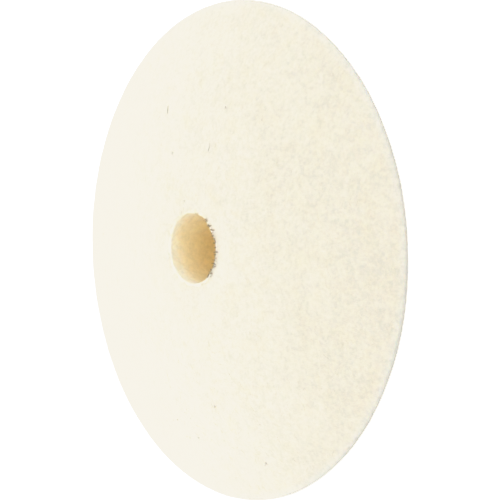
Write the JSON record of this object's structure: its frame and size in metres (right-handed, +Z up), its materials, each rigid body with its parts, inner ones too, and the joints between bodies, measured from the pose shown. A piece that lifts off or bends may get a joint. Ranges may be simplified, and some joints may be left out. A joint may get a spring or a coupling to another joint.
{
  "type": "felt polishing wheel",
  "caption": "Lens-shaped hard felt polishing wheel with domed faces, a thin knife-edge rim and a central arbor bore.",
  "frame": {"origin": "centre of the wheel, on the bore's axis and midway between the two faces", "axes": "+Y along the bore, the axis that the wheel spins about, from the front face to the back face; +Z up; the rim's knife edge lies in the XZ plane"},
  "size_m": [0.1, 0.025, 0.1],
  "materials": {
    "wool_felt": "undyed cream wool felt, pressed hard and cut smooth, matte, with a fine fibre nap"
  },
  "bodies": {
    "root": {"felt_wheel": "wool_felt"}
  },
  "joints": []
}
